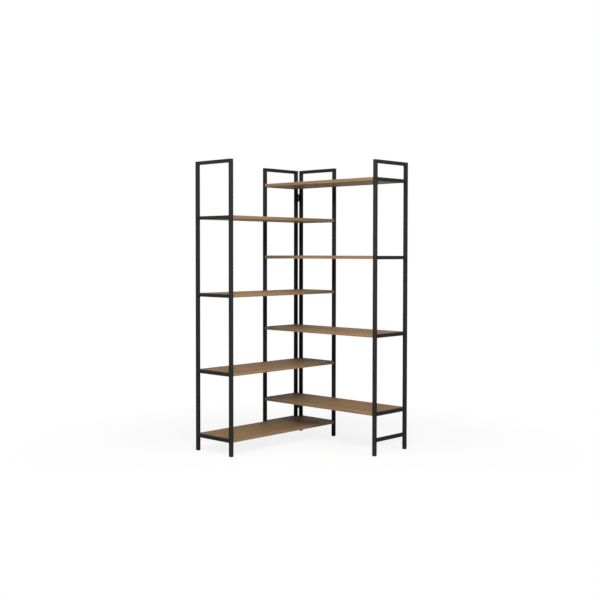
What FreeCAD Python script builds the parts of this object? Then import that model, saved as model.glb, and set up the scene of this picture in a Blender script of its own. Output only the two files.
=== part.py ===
import FreeCAD, Part
import Sketcher
import math
import os
from types import SimpleNamespace

# Corner shelf unit: two wings of welded tube frames and staggered boards, hinged at the corner.
# The origin is on the floor under the middle of the square footprint, with +Z up.
# The right wing runs along +X and the left wing along -Y, both from the corner at -X +Y.

os.makedirs("parts", exist_ok=True)
doc = FreeCAD.newDocument("CornerShelfUnit")

# Driving dimensions in millimetres. A level is the height of a shelf's top above the floor.
# The stagger is how far the left wing's upper shelves stand below the right wing's.
driving_sizes = {
    "frame_height": "1700",
    "wing_length": "910",
    "wing_depth": "305",
    "corner_gap": "4",
    "tube_side": "20",
    "tube_wall": "1.2",
    "tube_corner": "2",
    "low_level": "100",
    "right_low_level": "250",
    "right_top_drop": "100",
    "stagger": "220",
    "shelf_thickness": "18",
    "band_thickness": "0.8",
    "screw_inset": "60",
    "screw_width": "5",
    "screw_length": "50",
    "screw_head_width": "8",
    "screw_head_height": "2.6",
    "screw_clearance": "0.1",
    "pilot_spare": "3",
    "foot_head": "6",
    "foot_chamfer": "1.2",
    "plug_length": "14",
    "plug_wall": "2",
    "plug_fit": "0.1",
    "hinge_height": "50",
    "hinge_offset": "150",
    "leaf_thickness": "1",
    "leaf_inset": "2",
    "middle_knuckle": "18",
    "knuckle_gap": "0.3",
    "pin_clearance": "0.05",
    "pin_head_diameter": "3.4",
    "pin_head_height": "0.8",
    "cut_overrun": "1",
}
shelf_count = 4
screw_sides = 6

sheet = doc.addObject("Spreadsheet::Sheet", "Sizes")
for row, (alias, number) in enumerate(driving_sizes.items(), start=1):
    sheet.set(f"A{row}", number)
    sheet.setAlias(f"A{row}", alias)
doc.recompute()


class Size:
    """A length, together with the sheet expression that gives it."""

    def __init__(self, value, text):
        self.value = value
        self.text = text

    def __add__(self, other):
        return Size(self.value + other.value, f"({self.text} + {other.text})")

    def __sub__(self, other):
        return Size(self.value - other.value, f"({self.text} - {other.text})")

    def __neg__(self):
        return Size(-self.value, f"(-1 * {self.text})")

    def __mul__(self, factor):
        return Size(self.value * factor, f"({self.text} * {factor})")

    def __truediv__(self, divisor):
        return Size(self.value / divisor, f"({self.text} / {divisor})")


size = SimpleNamespace(**{
    alias: Size(float(sheet.get(alias)), f"Sizes.{alias}") for alias in driving_sizes
})
zero = Size(0.0, "0")
nodes = []


# Sketch and feature helpers

def bind(target, path, length):
    """Ties one property of an object to the sheet."""
    target.setExpression(path, length.text)


def place(target, x, y, z, rotation=FreeCAD.Rotation()):
    """Sets an object at a point that follows the sheet."""
    target.Placement = FreeCAD.Placement(FreeCAD.Vector(x.value, y.value, z.value), rotation)
    bind(target, "Placement.Base.x", x)
    bind(target, "Placement.Base.y", y)
    bind(target, "Placement.Base.z", z)


def new_body(label):
    """Starts a body; its label is the name of its file."""
    body = doc.addObject("PartDesign::Body", label)
    body.Label = label
    return body


def keep(node):
    """Adds a finished sub-part to those that are written out."""
    nodes.append(node)
    return node


def origin_plane(body, role):
    """Finds one of a body's own origin planes."""
    return next(item for item in body.Origin.OriginFeatures if item.Role == role)


def new_sketch(body, role, lift=None):
    """Attaches a sketch to an origin plane, raised along the plane's normal by a sheet length."""
    sketch = body.newObject("Sketcher::SketchObject", f"{body.Label}_sketch")
    sketch.AttachmentSupport = [(origin_plane(body, role), "")]
    sketch.MapMode = "FlatFace"
    if lift is not None:
        bind(sketch, "AttachmentOffset.Base.z", lift)
    return sketch


def dimension(sketch, length, kind, *picks):
    """Adds one dimension to a sketch and ties it to the sheet."""
    index = sketch.addConstraint(Sketcher.Constraint(kind, *picks, length.value))
    bind(sketch, f"Constraints[{index}]", length)


def fix_point(sketch, geometry, vertex, x, y):
    """Holds a point of a sketch at sheet distances from the sketch's origin."""
    dimension(sketch, x, "DistanceX", -1, 1, geometry, vertex)
    dimension(sketch, y, "DistanceY", -1, 1, geometry, vertex)


def polygon(sketch, points):
    """Draws a closed outline of straight lines through points held by the sheet."""
    corners = [FreeCAD.Vector(x.value, y.value, 0) for x, y in points]
    lines = []
    for start, end in zip(corners, corners[1:] + corners[:1]):
        lines.append(sketch.addGeometry(Part.LineSegment(start, end)))
    for line, following in zip(lines, lines[1:] + lines[:1]):
        sketch.addConstraint(Sketcher.Constraint("Coincident", line, 2, following, 1))
    for line, (x, y) in zip(lines, points):
        fix_point(sketch, line, 1, x, y)


def square(sketch, side):
    """Draws a centred square with sharp corners."""
    reach = side / 2
    polygon(sketch, [(-reach, -reach), (reach, -reach), (reach, reach), (-reach, reach)])


def eased_square(sketch, side, corner):
    """Draws a centred square with its corners cut off at 45 degrees."""
    reach = side / 2
    short = reach - corner
    polygon(sketch, [
        (reach, -short),
        (reach, short),
        (short, reach),
        (-short, reach),
        (-reach, short),
        (-reach, -short),
        (-short, -reach),
        (short, -reach),
    ])


def screw_outline(sketch, x, y, width, first_corner):
    """Draws a screw's many-sided outline by its width across flats and its first corner's angle."""
    corner_share = 1 / math.cos(math.pi / screw_sides)
    reach = width / 2 * corner_share
    corners = []
    for step in range(screw_sides):
        angle = math.radians(first_corner) + step * 2 * math.pi / screw_sides
        corners.append((x + reach * math.cos(angle), y + reach * math.sin(angle)))
    polygon(sketch, corners)


def rounded_square(sketch, side, corner):
    """Draws a centred square with round corners, as tangent lines and quarter arcs."""
    reach = side / 2
    centre = reach - corner
    turns = [(1, 1), (-1, 1), (-1, -1), (1, -1)]
    arcs = []
    for quarter, (sign_x, sign_y) in enumerate(turns):
        middle = FreeCAD.Vector(sign_x * centre.value, sign_y * centre.value, 0)
        ring = Part.Circle(middle, FreeCAD.Vector(0, 0, 1), corner.value)
        start = quarter * math.pi / 2
        arc = sketch.addGeometry(Part.ArcOfCircle(ring, start, start + math.pi / 2))
        fix_point(sketch, arc, 3, centre * sign_x, centre * sign_y)
        dimension(sketch, corner, "Radius", arc)
        arcs.append(arc)
    for arc, following in zip(arcs, arcs[1:] + arcs[:1]):
        start = sketch.Geometry[arc].EndPoint
        end = sketch.Geometry[following].StartPoint
        line = sketch.addGeometry(Part.LineSegment(start, end))
        sketch.addConstraint(Sketcher.Constraint("Tangent", arc, 2, line, 1))
        sketch.addConstraint(Sketcher.Constraint("Tangent", line, 2, following, 1))


def circle(sketch, x, y, radius):
    """Draws a circle whose centre and radius follow the sheet."""
    middle = FreeCAD.Vector(x.value, y.value, 0)
    ring = sketch.addGeometry(Part.Circle(middle, FreeCAD.Vector(0, 0, 1), radius.value))
    fix_point(sketch, ring, 3, x, y)
    dimension(sketch, radius, "Radius", ring)


def pad(body, sketch, length, symmetric=False):
    """Extrudes a sketch along its normal, or half each way."""
    feature = body.newObject("PartDesign::Pad", f"{body.Label}_pad")
    feature.Profile = sketch
    feature.SideType = "Symmetric" if symmetric else "One side"
    bind(feature, "Length", length)
    doc.recompute()
    return feature


def cut(body, sketch, length=None):
    """Cuts a sketch against its normal to a depth, or right through both ways, and tests that it cut."""
    before = body.Shape.Volume
    feature = body.newObject("PartDesign::Pocket", f"{body.Label}_cut")
    feature.Profile = sketch
    if length is None:
        feature.SideType = "Symmetric"
        feature.Type = "ThroughAll"
    else:
        bind(feature, "Length", length)
    doc.recompute()
    if not body.Shape.Volume < before:
        raise RuntimeError(f"a cut in {body.Label} removed nothing")
    return feature


def linked_set(label, master, spots):
    """Sets linked copies of one piece at points of the sheet, as one sub-part."""
    links = []
    for number, (x, y, z, turn) in enumerate(spots, start=1):
        link = doc.addObject("App::Link", f"{label}_{number}")
        link.LinkedObject = master
        place(link, x, y, z, FreeCAD.Rotation(turn, 0, 0))
        links.append(link)
    group = keep(doc.addObject("Part::Compound", label))
    group.Label = label
    group.Links = links


# Sizes that several pieces share

half_wing = size.wing_length / 2
half_tube = size.tube_side / 2
wing_offset = size.tube_side + size.corner_gap
tube_bore = size.tube_side - size.tube_wall * 2
shelf_length = size.wing_length - size.tube_side * 2
screw_hole = size.screw_width + size.screw_clearance * 2
knuckle_radius = size.corner_gap / 2
# A leaf's open face is as far from the pin's axis as the bore of the knuckle rolled from it.
knuckle_bore = knuckle_radius - size.leaf_thickness
hinge_x = wing_offset - half_wing - knuckle_radius
hinge_y = -hinge_x

# The right wing's shelves are evenly spaced. The left wing's lowest is level with the bare rung.
shelf_pitch = (size.frame_height - size.right_top_drop - size.right_low_level) / (shelf_count - 1)
right_levels = [size.right_low_level + shelf_pitch * step for step in range(shelf_count)]
left_levels = [size.low_level] + [level - size.stagger for level in right_levels[1:]]


# The two wings. A spot is given by its distance along the wing, from the outside of the
# inner frame, and its depth from the wing's rear face. The turns are about Z, in degrees.

def left_spot(along, depth):
    return wing_offset - half_wing + depth, half_wing - along


def right_spot(along, depth):
    return along - half_wing, half_wing - wing_offset - depth


wings = [
    SimpleNamespace(
        name="left",
        spot=left_spot,
        depth_turn=0,
        along_turn=-90,
        levels=left_levels,
        bare_levels=[],
    ),
    SimpleNamespace(
        name="right",
        spot=right_spot,
        depth_turn=-90,
        along_turn=0,
        levels=right_levels,
        bare_levels=[size.low_level],
    ),
]


# Frame tubes: square steel tube, mitred at the top corners and butted at the rungs

def tube(label, length):
    """Extrudes a hollow square tube along the body's own Z axis."""
    body = keep(new_body(label))
    profile = new_sketch(body, "XY_Plane")
    rounded_square(profile, size.tube_side, size.tube_corner)
    square(profile, tube_bore)
    pad(body, profile, length)
    return body


def mitre(body, end, towards_start):
    """Cuts a tube's end at 45 degrees, from its outer side, -X, back to its inner side, +X."""
    reach = size.tube_side + size.cut_overrun
    tip = end + size.cut_overrun
    root = end - reach
    if towards_start:
        tip = end - size.cut_overrun
        root = end + reach
    outer = -half_tube - size.cut_overrun
    inner = half_tube + size.cut_overrun
    wedge = new_sketch(body, "XZ_Plane")
    polygon(wedge, [(outer, tip), (inner, root), (inner, tip)])
    cut(body, wedge)


def post(wing, frame_name, side, along):
    """Makes one upright, mitred at the top towards the other post of its frame."""
    depth = half_tube
    turn = wing.depth_turn
    if side == "front":
        depth = size.wing_depth - half_tube
        turn = wing.depth_turn + 180
    length = size.frame_height - size.foot_head
    body = tube(f"{wing.name}_{frame_name}_{side}_post", length)
    mitre(body, length, False)
    x, y = wing.spot(along, depth)
    place(body, x, y, size.foot_head, FreeCAD.Rotation(turn, 0, 0))


def foot(wing, frame_name, side, along):
    """Makes the moulded cap in a post's foot: a head with a chamfered sole and a hollow plug."""
    depth = half_tube
    if side == "front":
        depth = size.wing_depth - half_tube
    body = keep(new_body(f"{wing.name}_{frame_name}_{side}_foot_cap"))
    outline = new_sketch(body, "XY_Plane")
    eased_square(outline, size.tube_side, size.tube_corner)
    head = pad(body, outline, size.foot_head)
    middle = size.foot_head.value / 2
    edges = enumerate(head.Shape.Edges, start=1)
    sole = [f"Edge{index}" for index, edge in edges if edge.BoundBox.ZMax < middle]
    chamfer = body.newObject("PartDesign::Chamfer", f"{body.Label}_chamfer")
    chamfer.Base = (head, sole)
    bind(chamfer, "Size", size.foot_chamfer)
    doc.recompute()
    plug_side = tube_bore - size.plug_fit * 2
    plug = new_sketch(body, "XY_Plane", size.foot_head)
    square(plug, plug_side)
    pad(body, plug, size.plug_length)
    hollow = new_sketch(body, "XY_Plane", size.foot_head + size.plug_length)
    square(hollow, plug_side - size.plug_wall * 2)
    cut(body, hollow, size.plug_length)
    x, y = wing.spot(along, depth)
    place(body, x, y, zero)


def cross_tube(wing, label, length, along, depth, top):
    """Makes a tube that lies along the wing's depth, with its own +X side facing down."""
    body = tube(label, length)
    x, y = wing.spot(along, depth)
    place(body, x, y, top - half_tube, FreeCAD.Rotation(wing.depth_turn, 90, 0))
    return body


def frame(wing, frame_name, along):
    """Makes one ladder frame: two posts on caps, a mitred top rail and its rungs."""
    for side in ("front", "rear"):
        post(wing, frame_name, side, along)
        foot(wing, frame_name, side, along)
    label = f"{wing.name}_{frame_name}"
    rail = cross_tube(wing, f"{label}_top_rail", size.wing_depth, along, zero, size.frame_height)
    mitre(rail, size.wing_depth, False)
    mitre(rail, zero, True)
    rung_length = size.wing_depth - size.tube_side * 2
    for number, level in enumerate(wing.levels, start=1):
        rung = cross_tube(wing, f"{label}_rung_{number}", rung_length, along, size.tube_side, level)
        holes = new_sketch(rung, "XZ_Plane")
        above_middle = (size.tube_side - size.shelf_thickness) / 2
        rear_hole = size.screw_inset - size.tube_side
        for reach in (rear_hole, rung_length - rear_hole):
            screw_outline(holes, -above_middle, reach, screw_hole, 90)
        cut(rung, holes)
    for level in wing.bare_levels:
        cross_tube(wing, f"{label}_low_rung", rung_length, along, size.tube_side, level)


for wing in wings:
    frame(wing, "inner", half_tube)
    frame(wing, "outer", size.wing_length - half_tube)


# Shelves: boards with blind pilot holes in their ends, banded on both long edges

def board(label, depth):
    """Makes a centred board as long as the space between the frames."""
    body = new_body(label)
    half_length = shelf_length / 2
    half_depth = depth / 2
    outline = new_sketch(body, "XY_Plane")
    polygon(outline, [
        (-half_length, -half_depth),
        (half_length, -half_depth),
        (half_length, half_depth),
        (-half_length, half_depth),
    ])
    pad(body, outline, size.shelf_thickness)
    return body


def shelf(wing, number, level):
    """Makes one board, level with the tops of its rungs and butted between the frames."""
    body = keep(board(f"{wing.name}_shelf_{number}", size.wing_depth - size.band_thickness * 2))
    holes = new_sketch(body, "YZ_Plane", shelf_length / 2)
    hole_reach = size.wing_depth / 2 - size.screw_inset
    for sign in (-1, 1):
        screw_outline(holes, hole_reach * sign, size.shelf_thickness / 2, screw_hole, 0)
    pilot_depth = size.screw_length - size.tube_side + size.pilot_spare
    pilots = cut(body, holes, pilot_depth)
    both_ends = body.newObject("PartDesign::Mirrored", f"{body.Label}_both_ends")
    both_ends.Originals = [pilots]
    both_ends.MirrorPlane = (origin_plane(body, "YZ_Plane"), [""])
    body.Tip = both_ends
    x, y = wing.spot(half_wing, size.wing_depth / 2)
    place(body, x, y, level - size.shelf_thickness, FreeCAD.Rotation(wing.along_turn, 0, 0))


edge_band = board("edge_band", size.band_thickness)
half_band = size.band_thickness / 2
for wing in wings:
    strips = []
    for number, level in enumerate(wing.levels, start=1):
        shelf(wing, number, level)
        for depth in (half_band, size.wing_depth - half_band):
            x, y = wing.spot(half_wing, depth)
            strips.append((x, y, level - size.shelf_thickness, wing.along_turn))
    linked_set(f"{wing.name}_shelf_edge_bands", edge_band, strips)


# Corner hinges: butt hinges rolled from sheet, one leaf welded to each corner post

def hinge_leaf(label, has_middle_knuckle):
    """Makes a leaf about the pin's axis, with its flat along +X against the post's face at +Y."""
    body = keep(new_body(label))
    reach = knuckle_radius + size.tube_side - size.leaf_inset
    meeting = math.sqrt(knuckle_radius.value ** 2 - knuckle_bore.value ** 2)
    profile = new_sketch(body, "XY_Plane")
    barrel = Part.Circle(FreeCAD.Vector(), FreeCAD.Vector(0, 0, 1), knuckle_radius.value)
    last_angle = 2 * math.pi + math.atan2(knuckle_bore.value, meeting)
    roll = profile.addGeometry(Part.ArcOfCircle(barrel, math.pi / 2, last_angle))
    outline = [
        FreeCAD.Vector(meeting, knuckle_bore.value, 0),
        FreeCAD.Vector(reach.value, knuckle_bore.value, 0),
        FreeCAD.Vector(reach.value, knuckle_radius.value, 0),
        FreeCAD.Vector(0, knuckle_radius.value, 0),
    ]
    front = profile.addGeometry(Part.LineSegment(outline[0], outline[1]))
    end = profile.addGeometry(Part.LineSegment(outline[1], outline[2]))
    back = profile.addGeometry(Part.LineSegment(outline[2], outline[3]))
    profile.addConstraint(Sketcher.Constraint("Coincident", roll, 3, -1, 1))
    dimension(profile, knuckle_radius, "Radius", roll)
    profile.addConstraint(Sketcher.Constraint("Coincident", roll, 2, front, 1))
    profile.addConstraint(Sketcher.Constraint("Coincident", back, 2, roll, 1))
    profile.addConstraint(Sketcher.Constraint("Coincident", front, 2, end, 1))
    profile.addConstraint(Sketcher.Constraint("Coincident", end, 2, back, 1))
    profile.addConstraint(Sketcher.Constraint("Horizontal", front))
    fix_point(profile, end, 1, reach, knuckle_bore)
    fix_point(profile, end, 2, reach, knuckle_radius)
    dimension(profile, zero, "DistanceX", -1, 1, back, 2)
    circle(profile, zero, zero, knuckle_bore)
    pad(body, profile, size.hinge_height, symmetric=True)

    far = -knuckle_radius - size.cut_overrun
    near = knuckle_radius + size.knuckle_gap
    half_middle = size.middle_knuckle / 2
    half_height = size.hinge_height / 2 + size.cut_overrun
    notches = new_sketch(body, "XZ_Plane")
    if has_middle_knuckle:
        for sign in (-1, 1):
            low = half_middle * sign
            high = half_height * sign
            polygon(notches, [(far, low), (near, low), (near, high), (far, high)])
    else:
        low = -half_middle - size.knuckle_gap
        high = half_middle + size.knuckle_gap
        polygon(notches, [(far, low), (near, low), (near, high), (far, high)])
    cut(body, notches)
    return body


def hinge_pin(label):
    """Makes a pin along +X, with a head that sits on the upper knuckle and a shank as long as the hinge."""
    radius = knuckle_bore - size.pin_clearance
    head_radius = size.pin_head_diameter / 2
    body = keep(new_body(label))
    profile = new_sketch(body, "XY_Plane")
    polygon(profile, [
        (-size.pin_head_height, zero),
        (-size.pin_head_height, head_radius),
        (zero, head_radius),
        (zero, radius),
        (size.hinge_height, radius),
        (size.hinge_height, zero),
    ])
    feature = body.newObject("PartDesign::Revolution", f"{label}_revolution")
    feature.Profile = profile
    feature.ReferenceAxis = (profile, ["H_Axis"])
    doc.recompute()
    return body


flip_to_right_post = FreeCAD.Rotation(FreeCAD.Vector(1, -1, 0), 180)
pin_down = FreeCAD.Rotation(0, 90, 0)
half_hinge = size.hinge_height / 2
hinge_levels = {
    "lower": size.hinge_offset + half_hinge,
    "upper": size.frame_height - size.hinge_offset - half_hinge,
}
for name, level in hinge_levels.items():
    left_leaf = hinge_leaf(f"{name}_hinge_left_leaf", True)
    place(left_leaf, hinge_x, hinge_y, level)
    right_leaf = hinge_leaf(f"{name}_hinge_right_leaf", False)
    place(right_leaf, hinge_x, hinge_y, level, flip_to_right_post)
    pin = hinge_pin(f"{name}_hinge_pin")
    place(pin, hinge_x, hinge_y, level + half_hinge, pin_down)


# Shelf screws: driven through the rungs into the ends of the boards, with plain hexagonal heads.
# Their shanks and holes are drawn with as few sides as the heads.

shelf_screw = new_body("shelf_screw")
screw_head = new_sketch(shelf_screw, "YZ_Plane", -size.screw_head_height)
screw_outline(screw_head, zero, zero, size.screw_head_width, 0)
pad(shelf_screw, screw_head, size.screw_head_height)
screw_shank = new_sketch(shelf_screw, "YZ_Plane")
screw_outline(screw_shank, zero, zero, size.screw_width, 0)
pad(shelf_screw, screw_shank, size.screw_length)
for wing in wings:
    fixings = []
    ends = ((zero, wing.along_turn), (size.wing_length, wing.along_turn + 180))
    for level in wing.levels:
        for along, turn in ends:
            for depth in (size.screw_inset, size.wing_depth - size.screw_inset):
                x, y = wing.spot(along, depth)
                fixings.append((x, y, level - size.shelf_thickness / 2, turn))
    linked_set(f"{wing.name}_shelf_screws", shelf_screw, fixings)


# Checks before anything is written

doc.recompute()
for item in doc.Objects:
    if "Invalid" in item.State or "Error" in item.State:
        raise RuntimeError(f"{item.Label} failed to build: {item.State}")
for node in nodes:
    if node.Shape.isNull() or not node.Shape.isValid():
        raise RuntimeError(f"{node.Label} has no valid shape")
for node in nodes:
    node.Shape.exportStep(f"parts/{node.Label}.step")
print(f"{len(nodes)} sub-parts written")
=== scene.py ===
"""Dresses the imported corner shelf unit: finishes, welds, feet, hinges, boards, screws, room and camera."""
import math

import bmesh
import bpy
from mathutils import Matrix, Vector


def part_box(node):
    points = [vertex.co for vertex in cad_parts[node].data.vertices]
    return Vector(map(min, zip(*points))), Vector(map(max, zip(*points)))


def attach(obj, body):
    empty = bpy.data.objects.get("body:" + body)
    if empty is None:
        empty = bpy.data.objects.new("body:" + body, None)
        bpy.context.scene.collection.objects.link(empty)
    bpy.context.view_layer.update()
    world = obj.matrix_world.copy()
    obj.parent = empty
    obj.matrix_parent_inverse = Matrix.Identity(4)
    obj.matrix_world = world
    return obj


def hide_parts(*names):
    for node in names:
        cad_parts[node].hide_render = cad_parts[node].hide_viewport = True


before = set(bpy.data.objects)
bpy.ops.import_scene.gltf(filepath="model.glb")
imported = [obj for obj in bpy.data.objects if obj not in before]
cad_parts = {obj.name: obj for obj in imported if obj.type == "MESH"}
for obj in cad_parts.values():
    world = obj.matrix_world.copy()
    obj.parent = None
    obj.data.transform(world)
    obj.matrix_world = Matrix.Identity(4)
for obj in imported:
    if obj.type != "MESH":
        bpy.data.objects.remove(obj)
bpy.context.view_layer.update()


# Four ladder frames of 20 mm square steel tube: posts, mitred top rails and rungs, sawn and welded,
# then sprayed with a fine matt charcoal powder that is baked on. The rounded tube corners carry a painted
# highlight.
COAT_DARK = (0.0165, 0.0165, 0.0157, 1)
COAT_LIGHT = (0.0485, 0.0485, 0.046, 1)
COAT_GLOSS = 0.03
COAT_ROUGHNESS = 0.7
PEEL_SPOTS = 620
PEEL_TINT = 0.05
PEEL_ROUGHENS = 0.05
PEEL_HEIGHT = 0.00015
PEEL_STRENGTH = 0.1
CLOUD_SPOTS = 14
CLOUD_TINT = 0.14
CLOUD_ROUGHENS = 0.08
CORNER_HIGHLIGHT = 0.7
CORNER_HIGHLIGHT_LEAST = 0.3


class Wire:
    """One output of a finish's nodes. Sums and products of it add Math nodes."""

    def __init__(self, tree, socket):
        self.tree = tree
        self.socket = socket

    @classmethod
    def node(cls, tree, kind, settings=None, inputs=None, output=0):
        """Adds a node, sets it, fills or links its inputs, and gives one of its outputs."""
        made = tree.nodes.new(kind)
        for name, value in (settings or {}).items():
            if name == "stops":
                marks = made.color_ramp.elements
                while len(marks) < len(value):
                    marks.new(1.0)
                for mark, (position, colour) in zip(marks, value):
                    mark.position = position
                    mark.color = colour
            else:
                setattr(made, name, value)
        for name, value in (inputs or {}).items():
            if isinstance(value, Wire):
                tree.links.new(value.socket, made.inputs[name])
            else:
                made.inputs[name].default_value = value
        return cls(tree, made.outputs[output])

    def also(self, output):
        """Another output of the same node."""
        return Wire(self.tree, self.socket.node.outputs[output])

    def into(self, shader, socket):
        """Leads this output into one socket of a shader."""
        self.tree.links.new(self.socket, shader.inputs[socket])

    def maths(self, operation, first, second=0.0):
        """One Math node on two numbers, either of which may be a wire."""
        return self.node(self.tree, "ShaderNodeMath", {"operation": operation}, {0: first, 1: second})

    def __add__(self, other):
        return self.maths("ADD", self, other)

    def __sub__(self, other):
        return self.maths("SUBTRACT", self, other)

    def __rsub__(self, other):
        return self.maths("SUBTRACT", other, self)

    def __mul__(self, other):
        return self.maths("MULTIPLY", self, other)

    __radd__ = __add__
    __rmul__ = __mul__

    def clamped(self):
        """This number held between 0 and 1."""
        return self.node(self.tree, "ShaderNodeClamp", None, {"Value": self})


def new_finish(name, fixed):
    """A finish, its Principled shader with the fixed values set, and the place on the part in metres."""
    made = bpy.data.materials.new(name)
    made.use_nodes = True
    shader = made.node_tree.nodes["Principled BSDF"]
    for socket, value in fixed.items():
        shader.inputs[socket].default_value = value
    place = Wire.node(made.node_tree, "ShaderNodeTexCoord", output="Object")
    return made, shader, place


def speckle(place, spots, detail=2.0):
    """Noise from 0 to 1 with about so many spots to the metre."""
    return Wire.node(place.tree, "ShaderNodeTexNoise", {"noise_dimensions": "3D"},
                     {"Vector": place, "Scale": spots, "Detail": detail})


def tint(share, low, high):
    """The colour low where share is 0 and high where it is 1."""
    factor, first, second, result = 0, 6, 7, 2  # the sockets that a Mix node uses for colours
    return Wire.node(share.tree, "ShaderNodeMix", {"data_type": "RGBA"},
                     {factor: share, first: low, second: high}, result)


def raise_by(height, distance, strength, shader):
    """Lets a height from 0 to 1 lift the surface by up to this distance in metres."""
    lifted = Wire.node(height.tree, "ShaderNodeBump", None,
                       {"Strength": strength, "Distance": distance, "Height": height})
    lifted.into(shader, "Normal")


def corner_share(place):
    """0 on faces that lie square to the part, rising to 1 in the middle of a rounded corner."""
    facing = Wire.node(place.tree, "ShaderNodeVectorMath", {"operation": "ABSOLUTE"},
                       {"Vector": place.also("Normal")})
    x = Wire.node(place.tree, "ShaderNodeSeparateXYZ", None, {"Vector": facing})
    widest = x.maths("MAXIMUM", x.maths("MAXIMUM", x, x.also("Y")), x.also("Z"))
    full_corner = 1 - math.sqrt(0.5)
    return ((1 - widest) * (1 / full_corner)).clamped()


powder_coat, shader, place = new_finish("powder_coat", {"Specular IOR Level": COAT_GLOSS})
peel = speckle(place, PEEL_SPOTS)
cloud = speckle(place, CLOUD_SPOTS)
# Painted highlight: the coat's colour is made paler along the rounded corners of the tubes, where light
# would catch them.
corner_highlight = corner_share(place) * (CORNER_HIGHLIGHT_LEAST + (1 - CORNER_HIGHLIGHT_LEAST) * cloud)
paleness = (CLOUD_TINT * cloud + PEEL_TINT * peel + CORNER_HIGHLIGHT * corner_highlight).clamped()
tint(paleness, COAT_DARK, COAT_LIGHT).into(shader, "Base Color")
(COAT_ROUGHNESS + CLOUD_ROUGHENS * cloud + PEEL_ROUGHENS * peel).into(shader, "Roughness")
raise_by(peel, PEEL_HEIGHT, PEEL_STRENGTH, shader)
for name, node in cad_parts.items():
    if name.endswith(("_post", "_top_rail")) or "_rung" in name:
        node.material_slots[0].material = powder_coat


# Weld beads in the corners where rungs and top rails meet the posts: a short run of melted wire,
# rippled as it was laid, under the same powder coat. The outer faces are ground flush and have none.
WELD_LEG = 0.0021
WELD_INSET = 0.0022
WELD_ROOT = 0.3
WELD_RIPPLE = 0.09
WELD_END = 0.12
WELD_BLUNTNESS = 0.35
WELD_STATIONS = 17
WELD_STEPS = 6
WELD_CREASE = 60
QUARTER_TURN = 0.5 * math.pi
UP = Vector((0, 0, 1))
WING_LENGTH = {"left": Vector((0, 1, 0)), "right": Vector((1, 0, 0))}
WING_FRONT = {"left": Vector((1, 0, 0)), "right": Vector((0, -1, 0))}


def new_piece(name, skins, finish, crease=35):
    """One mesh object from skins, each a list of rings with equally many points, closed at both ends.
    Edges that bend by more than crease degrees stay sharp."""
    mesh = bmesh.new()
    for rings in skins:
        rows = [[mesh.verts.new(point) for point in ring] for ring in rings]
        for row, following in zip(rows, rows[1:]):
            for index in range(len(row)):
                mesh.faces.new((row[index - 1], row[index], following[index], following[index - 1]))
        mesh.faces.new(rows[0])
        mesh.faces.new(rows[-1])
    bmesh.ops.recalc_face_normals(mesh, faces=mesh.faces)
    data = bpy.data.meshes.new(name)
    mesh.to_mesh(data)
    mesh.free()
    data.shade_smooth()
    data.set_sharp_from_angle(angle=math.radians(crease))
    data.materials.append(finish)
    piece = bpy.data.objects.new(name, data)
    bpy.context.scene.collection.objects.link(piece)
    return piece


def bead(start, end, first, second, leg):
    """The rings of a rippled bead from start to end in the corner between two free directions."""
    rings = []
    for station in range(WELD_STATIONS):
        share = station / (WELD_STATIONS - 1)
        middle = start.lerp(end, share)
        swell = math.sin(math.pi * (WELD_END + (1 - 2 * WELD_END) * share)) ** WELD_BLUNTNESS
        size = leg * swell * (1 + WELD_RIPPLE * (-1) ** station)
        ring = [middle - WELD_ROOT * leg * (first + second)]
        for step in range(WELD_STEPS + 1):
            angle = QUARTER_TURN * step / WELD_STEPS
            ring.append(middle + size * (math.cos(angle) * first + math.sin(angle) * second))
        rings.append(ring)
    return rings


for wing, along in WING_LENGTH.items():
    front = WING_FRONT[wing]
    beads = []
    for side in ("inner", "outer"):
        front_low, front_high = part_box(f"{wing}_{side}_front_post")
        rear_low, rear_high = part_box(f"{wing}_{side}_rear_post")
        front_face = min(front_low.dot(front), front_high.dot(front))
        rear_face = max(rear_low.dot(front), rear_high.dot(front))
        from_side = front_low.dot(along) + WELD_INSET
        to_side = front_high.dot(along) - WELD_INSET
        levels = []
        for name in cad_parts:
            if name.startswith(f"{wing}_{side}_") and "rung" in name:
                low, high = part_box(name)
                levels += [(high.z, UP), (low.z, -UP)]
        rail_low, rail_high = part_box(f"{wing}_{side}_top_rail")
        levels.append((rail_low.z, -UP))
        for level, free in levels:
            for depth, inward in ((front_face, -front), (rear_face, front)):
                corner = depth * front + level * UP
                start = corner + from_side * along
                end = corner + to_side * along
                beads.append(bead(start, end, inward, free, WELD_LEG))
    welds = new_piece(f"{wing}_frame_welds", beads, powder_coat, WELD_CREASE)
    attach(welds, f"{wing}_wing")


# Foot caps: black moulded plastic plugs pressed into the foot of every post, with a head as wide
# as the tube, softly rounded corners and a rounded sole that stands on the floor.
FOOT_HEAD = 0.006
FOOT_CORNER = 0.0026
SOLE_ROUND = 0.0021
LIP_CHAMFER = 0.0003
PLUG_IN = 0.0013
PLUG_CORNER = 0.0008
PLUG_TAPER = 0.0006
CORNER_STEPS = 7
PLASTIC_DARK = (0.006, 0.006, 0.006, 1)
PLASTIC_LIGHT = (0.014, 0.014, 0.014, 1)
PLASTIC_GLOSS = 0.35
PLASTIC_ROUGHNESS = 0.42
PIT_SPOTS = 1500
PIT_HEIGHT = 0.00008
PIT_STRENGTH = 0.4
SCUFF_SPOTS = 90
SCUFF_DETAIL = 5
SCUFF_TINT = 0.5
SCUFF_ROUGHENS = 0.2
foot_plastic, shader, place = new_finish("foot_plastic", {"Specular IOR Level": PLASTIC_GLOSS})
pitted = speckle(place, PIT_SPOTS)
scuffs = speckle(place, SCUFF_SPOTS, SCUFF_DETAIL)
paleness = ((1 - SCUFF_TINT) * pitted + SCUFF_TINT * scuffs).clamped()
tint(paleness, PLASTIC_DARK, PLASTIC_LIGHT).into(shader, "Base Color")
(PLASTIC_ROUGHNESS + SCUFF_ROUGHENS * scuffs).into(shader, "Roughness")
raise_by(pitted, PIT_HEIGHT, PIT_STRENGTH, shader)


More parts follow.
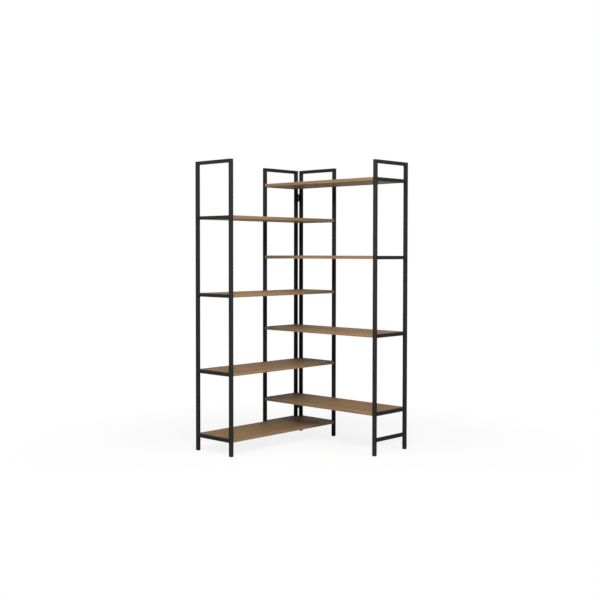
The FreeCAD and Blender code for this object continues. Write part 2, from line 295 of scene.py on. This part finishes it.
def rounded_square(middle, half, corner, height):
    """One ring: a square with rounded corners, lying flat at this height."""
    ring = []
    for quarter in range(4):
        diagonal = QUARTER_TURN * (quarter + 0.5)
        centre_x = middle.x + math.copysign(half - corner, math.cos(diagonal))
        centre_y = middle.y + math.copysign(half - corner, math.sin(diagonal))
        for step in range(CORNER_STEPS):
            angle = QUARTER_TURN * (quarter + step / (CORNER_STEPS - 1))
            x = centre_x + corner * math.cos(angle)
            y = centre_y + corner * math.sin(angle)
            ring.append(Vector((x, y, height)))
    return ring


for name in list(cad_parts):
    if not name.endswith("_foot_cap"):
        continue
    low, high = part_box(name)
    middle = 0.5 * (low + high)
    half = 0.5 * (high.x - low.x)
    rings = []
    for step in range(CORNER_STEPS):
        angle = QUARTER_TURN * step / (CORNER_STEPS - 1)
        drawn_in = SOLE_ROUND * (1 - math.sin(angle))
        rings.append(rounded_square(middle, half - drawn_in, FOOT_CORNER - drawn_in,
                                    low.z + SOLE_ROUND * (1 - math.cos(angle))))
    rings.append(rounded_square(middle, half, FOOT_CORNER, FOOT_HEAD - LIP_CHAMFER))
    rings.append(rounded_square(middle, half - LIP_CHAMFER, FOOT_CORNER - LIP_CHAMFER, FOOT_HEAD))
    rings.append(rounded_square(middle, half - PLUG_IN, PLUG_CORNER, FOOT_HEAD))
    rings.append(rounded_square(middle, half - PLUG_IN, PLUG_CORNER, high.z - PLUG_TAPER))
    rings.append(rounded_square(middle, half - PLUG_IN - PLUG_TAPER, 0.5 * PLUG_CORNER, high.z))
    cap = new_piece(f"{name}_moulded", [rings], foot_plastic)
    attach(cap, name.split("_")[0] + "_wing")
    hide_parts(name)


# Two butt hinges between the corner posts: rolled sheet leaves tacked to the posts by short welds,
# and loose pins with flat heads. All of it is painted black, and rubbed a little bare at the knuckles.
TACK_LEG = 0.0011
TACK_LENGTH = 0.008
HINGE_BLACK = (0.005, 0.005, 0.0052, 1)
HINGE_RUBBED = (0.03, 0.03, 0.031, 1)
HINGE_GLOSS = 0.12
HINGE_ROUGHNESS = 0.46
BRUSH_SPOTS = 240
BRUSH_DETAIL = 5
BRUSH_ROUGHENS = 0.22
BRUSH_HEIGHT = 0.00005
BRUSH_STRENGTH = 0.4
RUB_GAIN = 2.4
RUB_START = 0.95
RUB_SMOOTHS = 0.1
RUB_METAL = 0.4
hinge_paint, shader, place = new_finish("hinge_paint", {"Specular IOR Level": HINGE_GLOSS})
brushed = speckle(place, BRUSH_SPOTS, BRUSH_DETAIL)
rubbed = (corner_share(place) * (RUB_GAIN * brushed - RUB_START)).clamped()
tint(rubbed, HINGE_BLACK, HINGE_RUBBED).into(shader, "Base Color")
(HINGE_ROUGHNESS + BRUSH_ROUGHENS * brushed - RUB_SMOOTHS * rubbed).into(shader, "Roughness")
(RUB_METAL * rubbed).into(shader, "Metallic")
raise_by(brushed, BRUSH_HEIGHT, BRUSH_STRENGTH, shader)
tacks = {"left": [], "right": []}
for height in ("lower", "upper"):
    for part in ("left_leaf", "right_leaf", "pin"):
        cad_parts[f"{height}_hinge_{part}"].material_slots[0].material = hinge_paint
    for wing in ("left", "right"):
        low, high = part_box(f"{height}_hinge_{wing}_leaf")
        post_low, post_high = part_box(f"{wing}_inner_rear_post")
        middle = 0.5 * (post_low + post_high)
        if wing == "left":
            face = Vector((middle.x, post_low.y, 0))
            run = Vector((1, 0, 0))
            free = Vector((0, -1, 0))
        else:
            face = Vector((post_high.x, middle.y, 0))
            run = Vector((0, 1, 0))
            free = Vector((1, 0, 0))
        half_run = 0.5 * TACK_LENGTH * run
        for level, away in ((low.z, -UP), (high.z, UP)):
            centre = face + level * UP
            tacks[wing].append(bead(centre - half_run, centre + half_run, free, away, TACK_LEG))
for wing, beads in tacks.items():
    tack = new_piece(f"{wing}_hinge_tacks", beads, hinge_paint, WELD_CREASE)
    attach(tack, f"{wing}_wing")


# Eight shelves of 18 mm particle board faced with brown oak-effect melamine. The print runs along
# each board like a plank sawn beside the heart of a log: arched rings, streaks, fibres and pores.
SHELF_NUMBERS = range(1, 5)
GRAIN_DARK = (0.075, 0.04, 0.017, 1)
GRAIN_MIDDLE = (0.207, 0.117, 0.0487, 1)
GRAIN_LIGHT = (0.338, 0.211, 0.092, 1)
GRAIN_MIDDLE_STOP = 0.55
BOARD_SHADE = 0.60
BOARD_GLOSS = 0.07
BOARD_ROUGHNESS = 0.54
BOARD_SLICE = 41.0
NOISE_MIDDLE = 0.5
# Each grain is its spots to the metre along the board and across it, and its detail.
SWAY_GRAIN = (0.7, 0.2, 1)
WOBBLE_GRAIN = (3.0, 14, 3)
STREAK_GRAIN = (1.3, 42, 3)
FIBRE_GRAIN = (5.0, 260, 4)
PORE_GRAIN = (26, 720, 2)
HEART_DEPTH = 0.035
HEART_SLOPE = 0.045
HEART_SWAY = 0.30
HEART_WOBBLE = 0.03
RING_WIDTH = 0.0065
RING_WOBBLE = 1.1
LATE_FALL = 5
LATE_LEAST = 0.35
LATE_STREAK = 0.9
LATE_SHADE = 0.42
FIBRE_SHADE = 0.6
FIBRE_ROUGHENS = 0.1
FIBRE_HEIGHT = 0.25
PORE_START = 0.56
PORE_GAIN = 6
PORE_CLOSED = 0.5
PORE_SHADE = 0.18
PORE_ROUGHENS = 0.1
PORE_HEIGHT = 0.7
PRINT_HEIGHT = 0.00012
PRINT_STRENGTH = 0.35


def board_place(place, wing):
    """How far a place lies along its wing, across it and up, in metres."""
    x = Wire.node(place.tree, "ShaderNodeSeparateXYZ", None, {"Vector": place})
    y = x.also("Y")
    along, across = (y, x) if wing == "left" else (x, y)
    return along, across, x.also("Z")


def grain(along, across, level, spots):
    """Noise drawn out along the board, in one slice for each level."""
    lengthwise, crosswise, detail = spots
    spot = Wire.node(along.tree, "ShaderNodeCombineXYZ", None,
                     {"X": along * lengthwise, "Y": across * crosswise, "Z": level})
    return speckle(spot, 1.0, detail)


def board_finish(wing, heart):
    """The printed wood of one wing's boards, with the rings centred near this depth."""
    made, shader, place = new_finish(f"{wing}_board_print", {"Specular IOR Level": BOARD_GLOSS})
    along, across, up = board_place(place, wing)
    level = up * BOARD_SLICE
    sway = grain(along, across, level, SWAY_GRAIN)
    wobble = grain(along, across, level, WOBBLE_GRAIN)
    streak = grain(along, across, level, STREAK_GRAIN)
    fibre = grain(along, across, level, FIBRE_GRAIN)
    pore = grain(along, across, level, PORE_GRAIN)
    beside = across - heart + HEART_SWAY * (sway - NOISE_MIDDLE)
    above = HEART_DEPTH + HEART_SLOPE * along + HEART_WOBBLE * (wobble - NOISE_MIDDLE)
    radius = up.maths("SQRT", beside * beside + above * above)
    ring = up.maths("FRACT", radius * (1 / RING_WIDTH) + RING_WOBBLE * wobble)
    late_wood = ring * ring * ((1 - ring) * LATE_FALL).clamped() * (LATE_LEAST + LATE_STREAK * streak)
    pores = ((pore - PORE_START) * PORE_GAIN).clamped() * (1 - PORE_CLOSED * late_wood)
    light = BOARD_SHADE + (streak - NOISE_MIDDLE) + FIBRE_SHADE * (fibre - NOISE_MIDDLE)
    shade = light - LATE_SHADE * late_wood - PORE_SHADE * pores
    stops = [(0.0, GRAIN_DARK), (GRAIN_MIDDLE_STOP, GRAIN_MIDDLE), (1.0, GRAIN_LIGHT)]
    colour = Wire.node(place.tree, "ShaderNodeValToRGB", {"stops": stops}, {"Fac": shade.clamped()})
    colour.into(shader, "Base Color")
    (BOARD_ROUGHNESS + FIBRE_ROUGHENS * fibre + PORE_ROUGHENS * pores).into(shader, "Roughness")
    raise_by(FIBRE_HEIGHT * fibre + PORE_HEIGHT * (1 - pores), PRINT_HEIGHT, PRINT_STRENGTH, shader)
    return made


for wing in WING_LENGTH:
    low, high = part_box(f"{wing}_shelf_1")
    middle = 0.5 * (low + high)
    printed = board_finish(wing, middle.x if wing == "left" else middle.y)
    for number in SHELF_NUMBERS:
        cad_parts[f"{wing}_shelf_{number}"].material_slots[0].material = printed


# Edge bands: thin plastic strips printed like the boards, glued along the front and the rear edge of
# every board. Their long outer edges are scraped round after gluing.
BAND_THICKNESS = 0.0008
BAND_ROUND = 0.0005
BAND_STEPS = 5
BAND_DARK = (0.105, 0.062, 0.0295, 1)
BAND_LIGHT = (0.337, 0.227, 0.118, 1)
BAND_RED = (0.228, 0.128, 0.065, 1)
BAND_SHADE = 0.5
BAND_GLOSS = 0.2
BAND_ROUGHNESS = 0.38
BROAD_GRAIN = (1.6, 90, 3)
BROAD_SHADE = 1.1
FINE_GRAIN = (9, 700, 3)
FINE_SHADE = 0.9
FINE_ROUGHENS = 0.12
FINE_HEIGHT = 0.00006
FINE_STRENGTH = 0.3
PATCH_GRAIN = (6, 30, 2)
PATCH_GAIN = 3
PATCH_START = 1.2
PATCH_RED = 0.7


def band_finish(wing):
    """The printed strip of one wing's boards, with its streaks along the strip."""
    made, shader, place = new_finish(f"{wing}_edge_print", {"Specular IOR Level": BAND_GLOSS})
    along, across, up = board_place(place, wing)
    depth = across * BOARD_SLICE
    broad = grain(along, up, depth, BROAD_GRAIN)
    fine = grain(along, up, depth, FINE_GRAIN)
    patch = grain(along, up, depth, PATCH_GRAIN)
    shade = BAND_SHADE + BROAD_SHADE * (broad - NOISE_MIDDLE) + FINE_SHADE * (fine - NOISE_MIDDLE)
    brown = tint(shade.clamped(), BAND_DARK, BAND_LIGHT)
    redness = (PATCH_GAIN * patch - PATCH_START).clamped() * PATCH_RED
    tint(redness, brown, BAND_RED).into(shader, "Base Color")
    (BAND_ROUGHNESS + FINE_ROUGHENS * fine).into(shader, "Roughness")
    raise_by(fine, FINE_HEIGHT, FINE_STRENGTH, shader)
    return made


def band_profile(outward, height):
    """The strip's section, square at the glued face and rounded outside, from its lower glued edge."""
    section = [(0.0, 0.0)]
    for step in range(BAND_STEPS):
        angle = QUARTER_TURN * step / (BAND_STEPS - 1)
        out = BAND_THICKNESS - BAND_ROUND * (1 - math.sin(angle))
        up = BAND_ROUND * (1 - math.cos(angle))
        section.append((out, up))
    mirrored = [(out, height - up) for out, up in reversed(section)]
    return [out * outward + up * UP for out, up in section + mirrored]


for wing, along in WING_LENGTH.items():
    front = WING_FRONT[wing]
    strips = []
    for number in SHELF_NUMBERS:
        low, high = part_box(f"{wing}_shelf_{number}")
        ends = (low.dot(along), high.dot(along))
        faces = sorted((low.dot(front), high.dot(front)))
        for face, outward in ((faces[0], -front), (faces[1], front)):
            section = band_profile(outward, high.z - low.z)
            edge = face * front + low.z * UP
            strips.append([[edge + end * along + point for point in section] for end in ends])
    bands = new_piece(f"{wing}_scraped_edge_bands", strips, band_finish(wing))
    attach(bands, f"{wing}_wing")
    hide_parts(f"{wing}_shelf_edge_bands")


# Shelf screws: black button-head screws with a hexagon socket, two through every shelf rung into the
# end of its board. They are turned and blackened, so that only the rim catches some light.
SCREW_INSET = 0.0592
SCREW_SIDES = 24
SHANK_LENGTH = 0.05
SHANK_RADIUS = 0.0025
TIP_LENGTH = 0.004
TIP_RADIUS = 0.0005
HEAD_RADIUS = 0.0046
HEAD_HEIGHT = 0.0026
HEAD_RIM = 0.0004
HEAD_CROWN = 0.0027
HEAD_STEPS = 5
SOCKET_HALF = 0.0015
SOCKET_LIP = 0.00015
SOCKET_DEPTH = 0.0015
SCREW_BLACK = (0.01, 0.01, 0.0105, 1)
SCREW_WORN = (0.03, 0.03, 0.031, 1)
SCREW_GLOSS = 0.2
SCREW_ROUGHNESS = 0.45
SCREW_METAL = 0.2
OIL_SPOTS = 420
OIL_DETAIL = 4
OIL_GAIN = 1.6
OIL_START = 0.4
OIL_ROUGHENS = 0.25
OIL_METAL = 0.3
OIL_HEIGHT = 0.00004
OIL_STRENGTH = 0.3
screw_black, shader, place = new_finish("screw_black", {"Specular IOR Level": SCREW_GLOSS})
oil = speckle(place, OIL_SPOTS, OIL_DETAIL)
tint((OIL_GAIN * oil - OIL_START).clamped(), SCREW_BLACK, SCREW_WORN).into(shader, "Base Color")
(SCREW_ROUGHNESS + OIL_ROUGHENS * oil).into(shader, "Roughness")
(SCREW_METAL + OIL_METAL * oil).into(shader, "Metallic")
raise_by(oil, OIL_HEIGHT, OIL_STRENGTH, shader)


def screw_rings(seat, outward):
    """The rings of one screw from its tip to the floor of its socket; seat is under its head."""
    sideways = UP.cross(outward)

    def ring(out, radius_at):
        points = []
        for side in range(SCREW_SIDES):
            angle = 2 * math.pi * side / SCREW_SIDES
            spoke = math.cos(angle) * sideways + math.sin(angle) * UP
            points.append(seat + out * outward + radius_at(angle) * spoke)
        return points

    def circle(radius):
        return lambda angle: radius

    def hexagon(half):
        return lambda angle: half / math.cos(angle % (math.pi / 3) - math.pi / 6)

    rings = [
        ring(-SHANK_LENGTH, circle(TIP_RADIUS)),
        ring(TIP_LENGTH - SHANK_LENGTH, circle(SHANK_RADIUS)),
        ring(0, circle(SHANK_RADIUS)),
        ring(0, circle(HEAD_RADIUS)),
        ring(HEAD_RIM, circle(HEAD_RADIUS)),
    ]
    for step in range(1, HEAD_STEPS + 1):
        angle = QUARTER_TURN * step / HEAD_STEPS
        radius = HEAD_CROWN + (HEAD_RADIUS - HEAD_CROWN) * math.cos(angle)
        rings.append(ring(HEAD_RIM + (HEAD_HEIGHT - HEAD_RIM) * math.sin(angle), circle(radius)))
    rings.append(ring(HEAD_HEIGHT, hexagon(SOCKET_HALF + SOCKET_LIP)))
    rings.append(ring(HEAD_HEIGHT - SOCKET_LIP, hexagon(SOCKET_HALF)))
    rings.append(ring(HEAD_HEIGHT - SOCKET_DEPTH, hexagon(SOCKET_HALF)))
    return rings


for wing, along in WING_LENGTH.items():
    front = WING_FRONT[wing]
    screws = []
    for number in SHELF_NUMBERS:
        board_low, board_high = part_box(f"{wing}_shelf_{number}")
        middle = 0.5 * (board_low + board_high)
        reach = 0.5 * abs((board_high - board_low).dot(front)) - SCREW_INSET
        for side in ("inner", "outer"):
            rung_low, rung_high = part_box(f"{wing}_{side}_rung_{number}")
            rung_middle = 0.5 * (rung_low + rung_high)
            outward = along if (rung_middle - middle).dot(along) > 0 else -along
            half_rung = 0.5 * abs((rung_high - rung_low).dot(along))
            beyond = (rung_middle - middle).dot(outward) + half_rung
            for step in (reach, -reach):
                screws.append(screw_rings(middle + beyond * outward + step * front, outward))
    fixings = new_piece(f"{wing}_socket_screws", screws, screw_black)
    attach(fixings, f"{wing}_wing")
    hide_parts(f"{wing}_shelf_screws")


# The studio: a pale floor that keeps the soft shadow of the unit and fades to white, a white room,
# and three square soft boxes, one before the open corner and one on either side of it.
WHITE = (1, 1, 1, 1)
FLOOR_RADIUS = 14.0
FLOOR_SIDES = 96
FLOOR_DROP = 0.0005
FLOOR_COLOUR = (0.82, 0.82, 0.82, 1)
FLOOR_ROUGHNESS = 0.9
SHADOW_SHARE = 0.14
SHADOW_FROM = 0.7
SHADOW_TO = 2.0
ROOM_FILL = 0.19
SOFTBOX_SIDE = 1.2
SOFTBOX_AIM = Vector((-0.1, 0.05, 0.8))


def seen_share(tree):
    """1 for what the camera, gloss or glass looks at, 0 for the light that falls on things."""
    camera = Wire.node(tree, "ShaderNodeLightPath", output="Is Camera Ray")
    return (camera + camera.also("Is Glossy Ray") + camera.also("Is Transmission Ray")).clamped()


floor_look = {"Base Color": FLOOR_COLOUR, "Roughness": FLOOR_ROUGHNESS}
floor_finish, shader, place = new_finish("pale_floor", floor_look)
tree = place.tree
distance = Wire.node(tree, "ShaderNodeVectorMath", {"operation": "LENGTH"}, {"Vector": place}, "Value")
shaded = Wire.node(tree, "ShaderNodeMapRange", {"interpolation_type": "SMOOTHSTEP"},
                   {"Value": distance, "From Min": SHADOW_FROM, "From Max": SHADOW_TO,
                    "To Min": SHADOW_SHARE, "To Max": 0.0})
glow = Wire.node(tree, "ShaderNodeEmission", None, {"Color": WHITE, "Strength": 1.0})
plain = Wire(tree, shader.outputs[0])
mixed = Wire.node(tree, "ShaderNodeMixShader", None, {0: seen_share(tree) * (1 - shaded), 1: plain, 2: glow})
mixed.into(tree.nodes["Material Output"], "Surface")
floor_mesh = bmesh.new()
bmesh.ops.create_circle(floor_mesh, cap_ends=True, segments=FLOOR_SIDES, radius=FLOOR_RADIUS)
floor_data = bpy.data.meshes.new("studio_floor")
floor_mesh.to_mesh(floor_data)
floor_mesh.free()
floor_data.materials.append(floor_finish)
floor = bpy.data.objects.new("studio_floor", floor_data)
floor.location = (0, 0, -FLOOR_DROP)
bpy.context.scene.collection.objects.link(floor)

room = bpy.data.worlds.new("white_room")
room.use_nodes = True
background = room.node_tree.nodes["Background"]
background.inputs["Color"].default_value = WHITE
(ROOM_FILL + (1 - ROOM_FILL) * seen_share(room.node_tree)).into(background, "Strength")
bpy.context.scene.world = room


def softbox(name, spot, watts):
    """A square soft lamp at spot, turned towards the middle of the unit."""
    lamp = bpy.data.lights.new(name, "AREA")
    lamp.shape = "SQUARE"
    lamp.size = SOFTBOX_SIDE
    lamp.energy = watts
    stand = bpy.data.objects.new(name, lamp)
    stand.location = spot
    stand.rotation_euler = (SOFTBOX_AIM - Vector(spot)).to_track_quat("-Z", "Y").to_euler()
    bpy.context.scene.collection.objects.link(stand)


softbox("front_softbox", spot=(1.77, -1.77, 2.6), watts=88)
softbox("left_softbox", spot=(0.0, -2.5, 2.6), watts=37)
softbox("right_softbox", spot=(2.5, 0.0, 2.6), watts=28)


# The camera: in front of the open corner, nearly six metres away and as high as the third right shelf,
# tilted down by about two degrees. Its small shift keeps the posts as upright as the photograph's.
EYE = (3.99205, -4.28856, 1.16924)
EYE_TURN = 43.0546
EYE_TILT = 88.1182
EYE_ROLL = 0.0716
SENSOR_WIDTH = 36.0
LENS = 59.4018
FRAMING_SHIFT = -0.025
view = bpy.data.cameras.new("photo_camera")
view.sensor_width = SENSOR_WIDTH
view.lens = LENS
view.shift_y = FRAMING_SHIFT
eye = bpy.data.objects.new("photo_camera", view)
turn = Matrix.Rotation(math.radians(EYE_TURN), 4, "Z")
tilt = Matrix.Rotation(math.radians(EYE_TILT), 4, "X")
roll = Matrix.Rotation(math.radians(EYE_ROLL), 4, "Z")
eye.matrix_world = Matrix.Translation(EYE) @ turn @ tilt @ roll
bpy.context.scene.collection.objects.link(eye)
bpy.context.scene.camera = eye
bpy.context.scene.view_settings.view_transform = "Standard"
